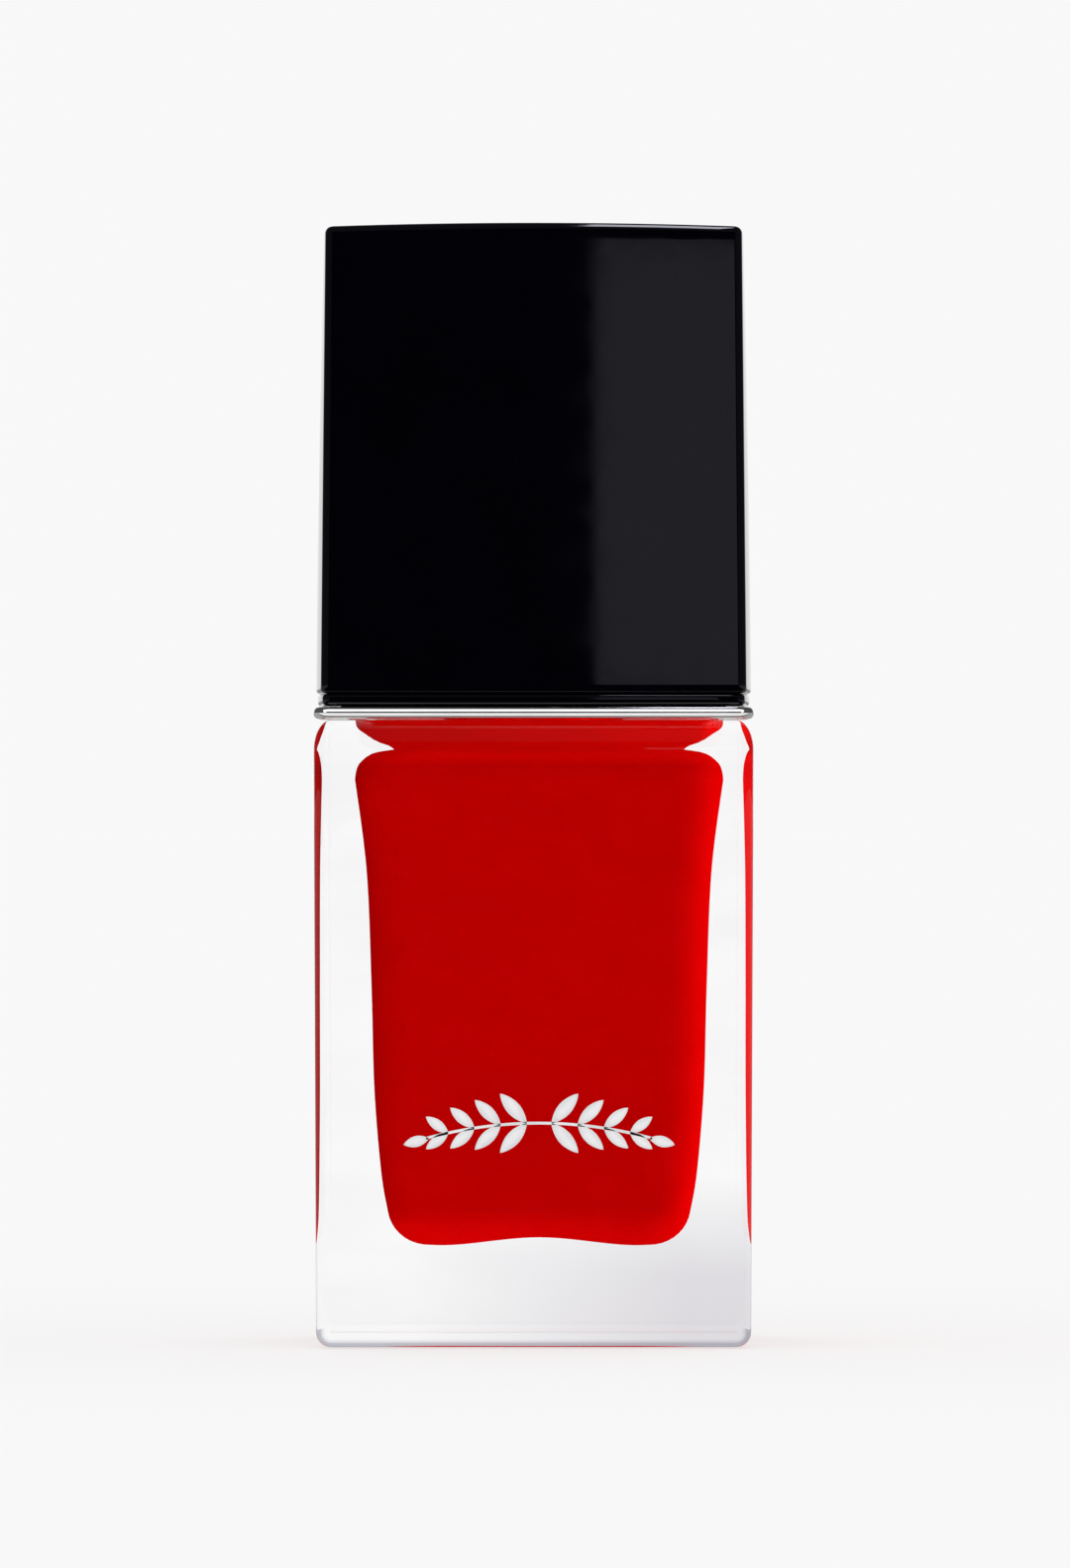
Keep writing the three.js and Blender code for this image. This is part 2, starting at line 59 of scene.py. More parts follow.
GLASS_HIGH = node_box("bottle_glass")[1]
SHELL_LOW, SHELL_HIGH = node_box("overcap_shell")
COLLAR_LOW, COLLAR_HIGH = node_box("collar_ring")
CLOSURE_LOW, CLOSURE_HIGH = node_box("brush_cap")
STEM_LOW, STEM_HIGH = node_box("brush_stem")
LINER_LOW, LINER_HIGH = node_box("sealing_liner")
INSERT_LOW, INSERT_HIGH = node_box("overcap_insert")
LABEL_LOW, LABEL_HIGH = node_box("base_label")
ANCHOR_LOW, ANCHOR_HIGH = node_box("bristle_anchor")

SHOULDER = 45.55  # height of the glass shoulder
BASE_HALF_X = 15.8
SHOULDER_HALF_X = GLASS_HIGH.x
GLASS_HALF_Y = GLASS_HIGH.y
GLASS_CORNER = 1.1  # upright edges of the glass
GLASS_EDGE = 1.1  # edges of the base
SHOULDER_EDGE = 1.3  # how far the shoulder's edges draw in
SHOULDER_EDGE_TALL = 2.15
RIM = GLASS_HIGH.z  # top of the neck
BORE = 3.8  # radius of the neck's bore
BORE_FOOT = 44.6  # where the bore starts to round out into the cavity's ceiling
BORE_FOOT_RADIUS = 0.6
NECK_ROOT = 5.7
LEDGE = 6.4  # radius of the ledge at the neck's foot
LEDGE_TOP = SHOULDER + 1.2
THREAD_PITCH = 2.12
THREAD_TURNS = 1.75
THREAD_BELOW_RIM = 1.9
THREAD_RUN_OUT = 0.35  # how much of a turn, in radians, each end of a thread fades over
RECESS = {"half_x": 12.2, "half_y": 7.4, "radius": 2.5}  # under the base
RECESS_DEPTH = 0.5
FIT = 0.05  # between two pieces that are assembled face to face

CAVITY_CENTRE = 0.4
CAVITY_FLOOR = 7.25
CAVITY_PUSH_UP = 0.6  # the floor arches up in the middle of its width
CAVITY_ARCH_HALF = 7.5
CAVITY_FLOOR_RADIUS = 3.0
CAVITY_WALL_LEAN = math.radians(9.6)  # of the walls just above the floor's round edge
CAVITY_CORNER = 3.0
CAVITY_MID_HALF_X = 12.2
CAVITY_MID_HALF_Y = 6.8
# Height and half width of the cavity's walls, from the floor to the shoulder.
CAVITY_WALL = [(9.75, 11.02), (12.6, 11.5), (18.7, 12.0), (26.0, 12.2), (34.5, 12.55), (41.2, 13.4)]
# How far in from the wall and how high above its end the cavity's shoulder runs.
CAVITY_SHOULDER = [(0.08, 0.6), (0.35, 1.2), (1.2, 1.86), (2.6, 2.15), (4.6, 2.4), (7.0, 2.76)]

# ---------------------------------------------------------------- rings and skins

ARC_STEPS = 10
FRONT_STEPS = 16
SIDE_STEPS = 10
RING = 4 * ARC_STEPS + 2 * FRONT_STEPS + 2 * SIDE_STEPS


def box_ring(z, half_x, half_y, radius, bulge_x=0.0, bulge_y=0.0, centre_x=0.0):
    """Points of a rounded rectangle at height z, anticlockwise from the middle of the +X side."""
    radius = max(radius, 0.02)
    quarter = []
    for i in range(SIDE_STEPS // 2):
        quarter.append((half_x, (half_y - radius) * i / (SIDE_STEPS / 2)))
    for i in range(ARC_STEPS):
        angle = i / ARC_STEPS * math.pi / 2
        x = half_x - radius + radius * math.cos(angle)
        y = half_y - radius + radius * math.sin(angle)
        quarter.append((x, y))
    for i in range(FRONT_STEPS // 2):
        quarter.append(((half_x - radius) * (1 - i / (FRONT_STEPS / 2)), half_y))
    # The other quarters are the first one mirrored, in order round the outline.
    first = quarter + [(0.0, half_y)]
    second = [(-x, y) for x, y in reversed(first[1:])]
    half = first[:-1] + second
    points = half + [(-x, -y) for x, y in half]
    ring = []
    for x, y in points:
        wide = x + bulge_x * (x / half_x) * (1 - (y / half_y) ** 2)
        deep = y + bulge_y * (y / half_y) * (1 - (x / half_x) ** 2)
        ring.append((centre_x + wide, deep, z))
    return ring


def round_ring(z, radius, count=RING):
    """Points of a circle; radius may be a function of the angle."""
    ring = []
    for i in range(count):
        angle = TAU * i / count
        r = radius(angle) if callable(radius) else radius
        ring.append((r * math.cos(angle), r * math.sin(angle), z))
    return ring


def between(a, b, t):
    return a + (b - a) * t


def grown(size, by):
    """The same outline with all its measures larger by a distance."""
    return {key: value + by for key, value in size.items()}


def scaled(size, scale):
    return {key: value * scale for key, value in size.items()}


def ring_between(a, b, t, z):
    return [(between(p[0], q[0], t), between(p[1], q[1], t), z) for p, q in zip(a, b)]


def smooth_step(t):
    t = min(max(t, 0.0), 1.0)
    return t * t * (3 - 2 * t)


def smooth_path(points, count):
    """Catmull-Rom samples through (x, y) points."""
    result = []
    last = len(points) - 1
    for k in range(count + 1):
        s = k / count * last
        i = min(int(s), last - 1)
        t = s - i
        p0, p1 = points[max(i - 1, 0)], points[i]
        p2, p3 = points[i + 1], points[min(i + 2, last)]
        sample = []
        for a, b, c, d in zip(p0, p1, p2, p3):
            curve = 2 * b + (c - a) * t + (2 * a - 5 * b + 4 * c - d) * t**2
            sample.append((curve + (3 * b - a - 3 * c + d) * t**3) / 2)
        result.append(tuple(sample))
    return result


def arc(centre_r, centre_z, radius, start, end, steps=6):
    """(r, z) points of an arc in a section; angles in degrees from the outward direction."""
    points = []
    for i in range(steps + 1):
        angle = math.radians(between(start, end, i / steps))
        points.append((centre_r + radius * math.cos(angle), centre_z + radius * math.sin(angle)))
    return points


def skin(rings, closed=False):
    """Vertices and faces over rings of equal length. An open skin's two ends are closed to a point."""
    count = len(rings[0])
    vertices = [p for ring in rings for p in ring]
    faces = []
    pairs = len(rings) if closed else len(rings) - 1
    for level in range(pairs):
        low = level * count
        high = (level + 1) % len(rings) * count
        for i in range(count):
            nxt = (i + 1) % count
            faces.append((low + i, low + nxt, high + nxt, high + i))
    if not closed:
        for level, flip in ((0, True), (len(rings) - 1, False)):
            ring = rings[level]
            middle = [sum(p[axis] for p in ring) / count for axis in range(3)]
            vertices.append(tuple(middle))
            point = len(vertices) - 1
            for i in range(count):
                a, b = level * count + i, level * count + (i + 1) % count
                faces.append((point, b, a) if flip else (point, a, b))
    return vertices, faces


def add_object(name, data):
    added = bpy.data.objects.new(name, data)
    bpy.context.scene.collection.objects.link(added)
    return added


def make(name, skins, material, body, replaces=(), weighted=True):
    """One smooth-shaded piece from skins in millimetres, riding on a body."""
    vertices, faces = [], []
    for skin_vertices, skin_faces in skins:
        start = len(vertices)
        vertices += [(x * MM, y * MM, z * MM) for x, y, z in skin_vertices]
        faces += [tuple(start + i for i in face) for face in skin_faces]
    mesh = bpy.data.meshes.new(name)
    mesh.from_pydata(vertices, [], faces)
    mesh.polygons.foreach_set("use_smooth", [True] * len(faces))
    mesh.materials.append(material)
    mesh.update()
    piece = add_object(name, mesh)
    if weighted:
        modifier = piece.modifiers.new("flat faces stay flat", "WEIGHTED_NORMAL")
        modifier.weight = 100
        modifier.keep_sharp = True
    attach(piece, body)
    if replaces:
        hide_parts(*replaces)
    return piece


def turned(profile, count=RING):
    """Rings of a lathe from (r, z) points."""
    return [round_ring(z, r, count) for r, z in profile]


# ---------------------------------------------------------------- materials


def new_material(name):
    """A node material with a Principled shader; gives its tree and that shader."""
    material = bpy.data.materials.new(name)
    material.use_nodes = True
    tree = material.node_tree
    return material, tree, tree.nodes["Principled BSDF"]


def set_inputs(node, values):
    for name, value in values.items():
        node.inputs[name].default_value = value


def place_in(tree, system="Object"):
    return tree.nodes.new("ShaderNodeTexCoord").outputs[system]


def along(tree, axis, system="Object"):
    """A point's distance along one axis; object coordinates are metres."""
    split = tree.nodes.new("ShaderNodeSeparateXYZ")
    tree.links.new(place_in(tree, system), split.inputs["Vector"])
    return split.outputs[axis]


def maths(tree, operation, first, second):
    """A Math node on two values, each of them a number or another node's output."""
    node = tree.nodes.new("ShaderNodeMath")
    node.operation = operation
    for value, entry in zip((first, second), node.inputs):
        if isinstance(value, (int, float)):
            entry.default_value = value
        else:
            tree.links.new(value, entry)
    return node.outputs[0]


def mapped(tree, value, from_low, from_high, to_low=0.0, to_high=1.0, smooth=False):
    """A value's share of the way from one number to another, read off as a third and a fourth."""
    node = tree.nodes.new("ShaderNodeMapRange")
    set_inputs(node, {"From Min": from_low, "From Max": from_high, "To Min": to_low, "To Max": to_high})
    if smooth:
        node.interpolation_type = "SMOOTHSTEP"
    tree.links.new(value, node.inputs["Value"])
    return node.outputs["Result"]


def mixed_shaders(tree, share, first, second):
    mix = tree.nodes.new("ShaderNodeMixShader")
    for value, entry in zip((share, first, second), mix.inputs):
        tree.links.new(value, entry)
    return mix.outputs[0]


def noise(tree, scale, detail=2.0, stretch=(1, 1, 1)):
    """Noise in object coordinates."""
    mapping = tree.nodes.new("ShaderNodeMapping")
    mapping.inputs["Scale"].default_value = stretch
    texture = tree.nodes.new("ShaderNodeTexNoise")
    set_inputs(texture, {"Scale": scale, "Detail": detail})
    tree.links.new(place_in(tree), mapping.inputs["Vector"])
    tree.links.new(mapping.outputs["Vector"], texture.inputs["Vector"])
    return texture.outputs["Fac"]


def ramp(tree, source, stops):
    node = tree.nodes.new("ShaderNodeValToRGB")
    elements = node.color_ramp.elements
    while len(elements) < len(stops):
        elements.new(0.5)
    for element, (position, colour) in zip(elements, stops):
        element.position = position
        element.color = (*colour, 1)
    tree.links.new(source, node.inputs["Fac"])
    return node.outputs["Color"]


def vary(tree, entry, scale, detail, low, high, stretch=(1, 1, 1)):
    """Lets noise vary one of a shader's inputs between two colours or two greys."""
    tree.links.new(ramp(tree, noise(tree, scale, detail, stretch), [(0.3, low), (0.7, high)]), entry)


def grey(value):
    return (value, value, value)


def bump(tree, shader, height, strength, distance):
    node = tree.nodes.new("ShaderNodeBump")
    set_inputs(node, {"Strength": strength, "Distance": distance})
    tree.links.new(height, node.inputs["Height"])
    tree.links.new(node.outputs["Normal"], shader.inputs["Normal"])


def share_along(tree, axis, low, high):
    """0 at low and 1 at high along an axis of the object, in millimetres."""
    return mapped(tree, along(tree, axis), low * MM, high * MM)


def blended(tree, share, under, colour):
    """A colour laid over another one by a share from 0 to 1."""
    mix = tree.nodes.new("ShaderNodeMix")
    mix.data_type = "RGBA"
    tree.links.new(share, mix.inputs["Factor"])
    tree.links.new(under, mix.inputs["A"])
    mix.inputs["B"].default_value = (*colour, 1)
    return mix.outputs["Result"]


def clear_glass():
    material, tree, shader = new_material("clear_glass")
    # Thick glass has faint grey clouds that lie level. Its base is also painted greyer low down towards
    # the right: painted shade from light falling unevenly.
    clouds = noise(tree, 110, 3.0, (1, 1, 3))
    tone = ramp(tree, clouds, [(0.35, (1.0, 0.998, 1.0)), (0.7, (0.955, 0.952, 0.96))])
    # Painted shade: grey that grows towards the lower right of the base.
    shade_low_down = share_along(tree, "Z", 12.0, 5.0)
    shade_to_right = share_along(tree, "X", -9.0, 11.0)
    tone = blended(tree, maths(tree, "MULTIPLY", shade_low_down, shade_to_right), tone, (0.77, 0.755, 0.785))
    tree.links.new(tone, shader.inputs["Base Color"])
    set_inputs(shader, {"Transmission Weight": 1, "IOR": 1.5, "Roughness": 0.0})
    # Pressed glass has faint upright waves.
    bump(tree, shader, noise(tree, 260, 1.0, (1, 1, 0.25)), 0.25, 0.00004)
    return material


def red_lacquer():
    material, tree, shader = new_material("red_lacquer")
    pigment = ramp(tree, noise(tree, 420, 3.0), [(0.3, (0.57, 0.0, 0.0)), (0.7, (0.6, 0.0005, 0.001))])
    # The layer just under the shoulder is painted the clearest red: painted light where the shoulder
    # zone is lit.
    shoulder_light = share_along(tree, "Z", 42.2, 43.6)
    tone = blended(tree, shoulder_light, pigment, (0.95, 0.002, 0.001))
    tree.links.new(tone, shader.inputs["Base Color"])
    # It wets the glass, whose index is nearly its own, so nothing is mirrored between the two.
    shader.inputs["Specular IOR Level"].default_value = 0
    return material


def wet_lacquer():
    material, tree, shader = new_material("wet_lacquer")
    vary(tree, shader.inputs["Base Color"], 900, 3.0, (0.5, 0.0, 0.0), (0.62, 0.002, 0.002))
    set_inputs(shader, {"Roughness": 0.06, "Coat Weight": 0.6, "Coat Roughness": 0.03})
    bump(tree, shader, noise(tree, 1400, 2.0, (1, 1, 0.2)), 0.4, 0.00006)
    return material


def black_gloss():
    material, tree, shader = new_material("black_gloss")
    darkest, lightest = (0.0006, 0.0004, 0.0014), (0.0009, 0.0006, 0.002)
    vary(tree, shader.inputs["Base Color"], 120, 2.0, darkest, lightest)
    rough = ramp(tree, noise(tree, 300, 4.0), [(0.35, grey(0.02)), (0.75, grey(0.05))])
    tree.links.new(rough, shader.inputs["Roughness"])
    shader.inputs["IOR"].default_value = 1.5
    return material


def bright_metal():
    material, tree, shader = new_material("bright_metal")
    vary(tree, shader.inputs["Base Color"], 500, 3.0, (0.88, 0.87, 0.86), (0.94, 0.935, 0.93))
    vary(tree, shader.inputs["Roughness"], 900, 3.0, grey(0.03), grey(0.09), (1, 1, 6))
    shader.inputs["Metallic"].default_value = 1
    return material


def moulded_plastic(name, dark, light, low_rough, high_rough, grain, grain_depth):
    """Moulded plastic with fine grain and uneven gloss."""
    material, tree, shader = new_material(name)
    vary(tree, shader.inputs["Base Color"], 350, 3.0, dark, light)
    vary(tree, shader.inputs["Roughness"], 700, 3.0, grey(low_rough), grey(high_rough))
    bump(tree, shader, noise(tree, grain, 2.0), 0.3, grain_depth)
    return material


def polished_steel():
    material, tree, shader = new_material("polished_steel")
    vary(tree, shader.inputs["Base Color"], 800, 3.0, grey(0.62), grey(0.72))
    vary(tree, shader.inputs["Roughness"], 2500, 4.0, grey(0.08), grey(0.2))
    shader.inputs["Metallic"].default_value = 1
    return material


def dipped(name, dry, wet_low, wet_high):
    """Dark plastic that is coated with red lacquer below wet_low and dry above wet_high."""
    material, tree, shader = new_material(name)
    unevenness = maths(tree, "MULTIPLY", noise(tree, 700, 2.0), 0.5)
    edge = maths(tree, "ADD", unevenness, share_along(tree, "Z", wet_low, wet_high))
    stops = [(0.5, (0.55, 0.001, 0.001)), (0.62, (0.3, 0.002, 0.002)), (0.75, dry)]
    tree.links.new(ramp(tree, edge, stops), shader.inputs["Base Color"])
    rough = ramp(tree, edge, [(0.5, grey(0.08)), (0.75, grey(0.35))])
    tree.links.new(rough, shader.inputs["Roughness"])
    return material


def print_ink():
    material, tree, shader = new_material("print_ink")
    vary(tree, shader.inputs["Base Color"], 900, 3.0, (0.9, 0.9, 0.92), (0.96, 0.96, 0.97))
    shader.inputs["Roughness"].default_value = 0.45
    return material


def label_film():
    """White film with a thin border line and a red colour swatch."""
    material, tree, shader = new_material("label_film")
    border_x, border_y, line, swatch = 7.9, 3.4, 0.2, 2.0

    def within(axis, half):
        above = maths(tree, "GREATER_THAN", along(tree, axis), -half * MM)
        below = maths(tree, "LESS_THAN", along(tree, axis), half * MM)
        return maths(tree, "MULTIPLY", above, below)

    def patch(half_x, half_y):
        return maths(tree, "MULTIPLY", within("X", half_x), within("Y", half_y))

    tone = ramp(tree, noise(tree, 1500, 2.0), [(0.3, grey(0.84)), (0.7, grey(0.9))])
    tone = blended(tree, patch(border_x, border_y), tone, (0.25, 0.25, 0.26))
    tone = blended(tree, patch(border_x - line, border_y - line), tone, (0.88, 0.88, 0.87))
    tone = blended(tree, patch(swatch, swatch), tone, (0.55, 0.001, 0.001))
    tree.links.new(tone, shader.inputs["Base Color"])
    shader.inputs["Roughness"].default_value = 0.5
    return material


# ---------------------------------------------------------------- bottle


def edge_rings(bottom_up, z_edge, radius, size_at, steps=8, tall=None):
    """Rings of a rounded horizontal edge, from low to high. bottom_up is True for a lower edge.

    The edge is as tall as its radius, or as tall as it is told."""
    tall = tall or radius
    rings = []
    for i in range(steps + 1):
        angle = i / steps * math.pi / 2
        if bottom_up:
            z = z_edge + tall * (1 - math.cos(angle))
            draw_in = radius * (1 - math.sin(angle))
        else:
            z = z_edge - tall * (1 - math.sin(angle))
            draw_in = radius * (1 - math.cos(angle))
        size = dict(size_at(z))
        size["half_x"] -= draw_in
        size["half_y"] -= draw_in
        size["radius"] = max(size["radius"] - draw_in, 0.25)
        rings.append(box_ring(z, **size))
    return rings


def glass_size(z):
    half_x = between(BASE_HALF_X, SHOULDER_HALF_X, z / SHOULDER)
    return {"half_x": half_x, "half_y": GLASS_HALF_Y, "radius": GLASS_CORNER}


def cavity_size(half_x, grow):
    half_y = CAVITY_MID_HALF_Y + (half_x - CAVITY_MID_HALF_X) / 2
    return {
        "half_x": half_x + grow,
        "half_y": half_y + grow,
        "radius": CAVITY_CORNER + grow,
        "centre_x": CAVITY_CENTRE,
    }


def cavity_rings(grow=0.0):
    """The inside of the bottle from the neck's foot down to the floor, grown outwards by a distance."""
    rings = []
    wall = smooth_path(CAVITY_WALL, 28)
    wall_top, wall_half = wall[-1]
    # Ceiling: from the round bore out to the rounded rectangle of the walls.
    shoulder = smooth_path([(0.0, 0.0)] + CAVITY_SHOULDER, 16)
    mouth = round_ring(0, BORE + 0.9 + grow)
    for draw_in, rise in reversed(shoulder[1:]):
        z = wall_top + rise + grow
        size = cavity_size(wall_half, grow)
        scale = 1 - draw_in / wall_half
        size["half_x"] *= scale
        size["half_y"] *= scale
        size["radius"] = between(size["radius"], size["half_y"] * 0.8, draw_in / 8)
        rings.append(ring_between(mouth, box_ring(z, **size), smooth_step(1.15 - draw_in / 12), z))
    # Walls, from the top down.
    for z, half_x in reversed(wall):
        rings.append(box_ring(z, **cavity_size(half_x, grow)))
    # Rounded foot of the walls, then the arched floor.
    foot = wall[0][1]
    steps = 9
    for i in range(1, steps + 1):
        angle = between(CAVITY_WALL_LEAN, math.pi / 2, i / steps)
        draw_in = CAVITY_FLOOR_RADIUS * (math.cos(CAVITY_WALL_LEAN) - math.cos(angle))
        z = CAVITY_FLOOR - grow + CAVITY_FLOOR_RADIUS * (1 - math.sin(angle))
        size = cavity_size(foot, grow)
        size["half_x"] -= draw_in
        size["half_y"] -= draw_in
        rings.append(arched(box_ring(z, **size), i / steps))
    floor = cavity_size(foot - draw_in, grow)
    for scale in (0.9, 0.75, 0.6, 0.45, 0.3, 0.15):
        size = dict(floor)
        size["half_x"] *= scale
        size["half_y"] = (floor["half_y"] - CAVITY_FLOOR_RADIUS / 2) * scale
        size["radius"] = min(floor["radius"], size["half_y"] * 0.9) * scale
        rings.append(arched(box_ring(CAVITY_FLOOR - grow, **size), 1.0))
    return rings


def arched(ring, share):
    """Lifts a ring by a share of the floor's arch."""
    lifted = []
    for x, y, z in ring:
        away = abs(x - CAVITY_CENTRE) / CAVITY_ARCH_HALF
        lifted.append((x, y, z + CAVITY_PUSH_UP * smooth_step(share) * (1 - smooth_step(away))))
    return lifted


def thread_height(angle, z, top, height, half_width):
    """How far a screw thread that starts at top stands out at an angle and a height."""
    result = 0.0
    for turn in range(1, int(THREAD_TURNS) + 2):
        wound = TAU * turn - angle
        left = THREAD_TURNS * TAU - wound
        fade = smooth_step(wound / THREAD_RUN_OUT) * smooth_step(left / THREAD_RUN_OUT)
        offset = (z - (top - THREAD_PITCH * wound / TAU)) / half_width
        if abs(offset) < 1:
            result = max(result, fade * height * (1 - offset**2) ** 0.7)
    return result


def neck_rings():
    """Outside of the neck from the shoulder to the rim, then the bore down to its foot."""
    foot, brow, rim, lip = 0.4, 0.3, 0.5, 0.35  # edge radii, from the ledge's foot to inside the rim
    rings = turned(arc(LEDGE + foot, SHOULDER + foot, foot, 270, 180, 4))
    rings += turned(arc(LEDGE - brow, LEDGE_TOP - brow, brow, 0, 80, 4))
    thread_top = RIM - THREAD_BELOW_RIM
    crest, half_width = 0.7, 0.72
    steps = 64
    for i in range(steps + 1):
        z = between(LEDGE_TOP + brow, RIM - rim, i / steps)

        def radius(angle):
            return NECK_ROOT + thread_height(angle, z, thread_top, crest, half_width)

        rings.append(round_ring(z, radius))
    rings += turned(arc(NECK_ROOT - rim, RIM - rim, rim, 15, 90, 5))
    rings += turned(arc(BORE + lip, RIM - lip, lip, 90, 180, 5))
    rings += [round_ring(z, BORE) for z in (52.0, 48.0, 46.0)]
    return rings


def bottle_skin():
    """From the recess under the base, up the outside, over the rim and down to the cavity's floor."""
    rings = [box_ring(RECESS_DEPTH, **scaled(RECESS, scale)) for scale in (0.35, 0.7, 0.985)]
    rings.append(box_ring(RECESS_DEPTH * 0.9, **RECESS))
    rings.append(box_ring(RECESS_DEPTH * 0.2, **RECESS))
    rings.append(box_ring(0.0, **grown(RECESS, 0.12)))
    rings += edge_rings(True, 0.0, GLASS_EDGE, glass_size)
    for share in (0.03, 0.2, 0.4, 0.6, 0.8, 0.97):
        z = between(GLASS_EDGE, SHOULDER - SHOULDER_EDGE_TALL, share)
        rings.append(box_ring(z, **glass_size(z)))
    rings += edge_rings(False, SHOULDER, SHOULDER_EDGE, glass_size, 12, SHOULDER_EDGE_TALL)
    flat_edge = rings[-1]
    neck = neck_rings()
    rings += [ring_between(flat_edge, neck[0], share, SHOULDER) for share in (0.04, 0.5, 0.92)]
    rings += neck
    rings += turned(arc(BORE + BORE_FOOT_RADIUS, BORE_FOOT, BORE_FOOT_RADIUS, 180, 250, 5))
    rings += cavity_rings()
    return skin(rings)


def lacquer_skin():
    """The lacquer reaches a little way into the glass, so that no air shows between the two."""
    overlap = 0.03
    level = 44.7
    dip = 0.25  # the surface climbs where it wets the bore
    rings = [round_ring(level - dip, r) for r in (0.8, 1.9, 3.0)]
    rings.append(round_ring(level - 0.6 * dip, BORE - 0.3))
    rings.append(round_ring(level, BORE + overlap))
    rings += turned(arc(BORE + BORE_FOOT_RADIUS, BORE_FOOT, BORE_FOOT_RADIUS - overlap, 190, 250, 4))
    rings += cavity_rings(overlap)
    return skin(rings)


def make_bottle(looks):
    make("glass_bottle", [bottle_skin()], looks["glass"], "bottle", ["bottle_glass"])
    red = looks["lacquer"]
    lacquer = make("lacquer_fill", [lacquer_skin()], red, "bottle", ["lacquer"])
    size = {"half_x": LABEL_HIGH.x, "half_y": LABEL_HIGH.y, "radius": 1.0}
    low, high, edge = LABEL_LOW.z, LABEL_HIGH.z, 0.03
    rings = [box_ring(low, **grown(size, -edge)), box_ring(low + edge, **size), box_ring(high, **size)]
    make("label_under_base", [skin(rings)], looks["label"], "bottle", ["base_label"])
    return lacquer


def make_balls(looks):
    for side in ("left", "right"):
        node = f"mixing_ball_{side}"
        low, high = node_box(node)
        middle, radius = (low + high) / 2, (high.z - low.z) / 2
        rings = []
        steps = 24
        for i in range(1, steps):
            angle = math.radians(between(-90, 90, i / steps))
            z, r = middle.z + radius * math.sin(angle), radius * math.cos(angle)
            rings.append([(x + middle.x, y + middle.y, z) for x, y, z in round_ring(z, r, 40)])
        name, body = f"steel_ball_{side}", f"ball_{side}"
        make(name, [skin(rings)], looks["steel"], body, [node], weighted=False)


# ---------------------------------------------------------------- brush and screw cap


def closure_skin():
    """Screw cap with grip ribs outside and a thread inside."""
    ribs = 28
    count = ribs * 8
    low, high = CLOSURE_LOW.z, CLOSURE_HIGH.z
    core, rib, edge, dish = 7.5, 0.15, 0.6, 0.12
    bore, socket, bevel = 6.85, 5.5, 0.2
    bore_top, ceiling = RIM + 2.5, 72.1
    inside = [(0.5, ceiling), (socket - bevel, ceiling), (socket, ceiling - bevel)]
    inside += [(socket, bore_top), (bore - bevel, bore_top), (bore, bore_top - bevel)]
    rings = turned(inside, count)
    thread_top = RIM - THREAD_BELOW_RIM - THREAD_PITCH / 2
    crest, half_width = 0.33, 0.45
    steps = 60
    for i in range(steps + 1):
        z = between(RIM + 1.1, low + 0.6, i / steps)

        def threaded(angle):
            return bore - thread_height(angle, z, thread_top, crest, half_width)

        rings.append(round_ring(z, threaded, count))
    rings += turned([(bore + 0.1, low + 0.1), (bore + 0.25, low)], count)

    def outside(z, draw_in, strength):
        def radius(angle):
            return core - draw_in + rib * strength * math.cos(ribs * angle)

        return round_ring(z, radius, count)

    # Height, how far the wall draws in, and how strong its ribs are.
    wall = [(low, 0.3, 0.0), (low + 0.1, 0.1, 0.0), (low + 0.35, 0.0, 0.0), (low + 1.4, 0.0, 0.0)]
    wall += [(low + 2.0, 0.0, 1.0)]
    wall += [(between(low + 2, high - 2, share), 0.0, 1.0) for share in (0.25, 0.5, 0.75)]
    wall += [(high - 2.2, 0.0, 1.0), (high - 1.2, 0.0, 0.35)]
    wall += [(z, core - r, 0.0) for r, z in arc(core - edge, high - edge, edge, 0, 90, 6)]
    rings += [outside(*place) for place in wall]
    rings += turned([(6.2, high), (5.8, high)], count)
    rings += turned([(r, high - dish) for r in (5.6, 3.0, 0.6)], count)
    return skin(rings)


def stem_skin():
    """From the socket for the bristles up the outside of the rod and over the plug into its hollow."""
    flange_low, flange_top, flange = LINER_HIGH.z + FIT, RIM + 2.45, 6.3
    plug, hollow = 5.45, 4.35
    tip, hole, hole_top = STEM_LOW.z, 1.25, 27.5
    thin, thick, fillet = 1.55, 1.85, 0.5
    taper_low, taper_high, steps = tip + 0.3, flange_low - 4, 6
    profile = [(0.3, hole_top), (hole - 0.1, hole_top), (hole, hole_top - 0.1), (hole, tip + 0.05)]
    profile += [(hole + 0.03, tip), (1.4, tip), (1.52, tip + 0.1), (thin, taper_low)]
    for i in range(1, steps + 1):
        t = i / steps
        profile.append((between(thin, thick, t), between(taper_low, taper_high, t)))
    profile += [(thick, flange_low - 0.8)]
    profile += arc(thick + fillet, flange_low - fillet, fillet, 180, 90, 4)
    profile += [(flange - 0.1, flange_low), (flange, flange_low + 0.1)]
    profile += [(flange, flange_top - 0.1), (flange - 0.1, flange_top), (plug + 0.05, flange_top)]
    profile += [(plug, flange_top + 0.1), (plug, STEM_HIGH.z - 0.5), (plug - 0.3, STEM_HIGH.z)]
    profile += [(hollow, STEM_HIGH.z), (hollow, flange_top + 1.1), (hollow - 0.1, flange_top + 1)]
    profile += [(0.3, flange_top + 1)]
    return skin(turned(profile, 64))


# Height, half width and half thickness of the bristle tuft.
TUFT = [(9.3, 1.2, 0.5), (10.0, 2.1, 0.85), (11.5, 2.45, 1.0), (15.0, 2.3, 1.0), (19.0, 1.7, 0.95)]
TUFT += [(22.8, 0.95, 0.95), (25.2, 0.95, 0.95)]


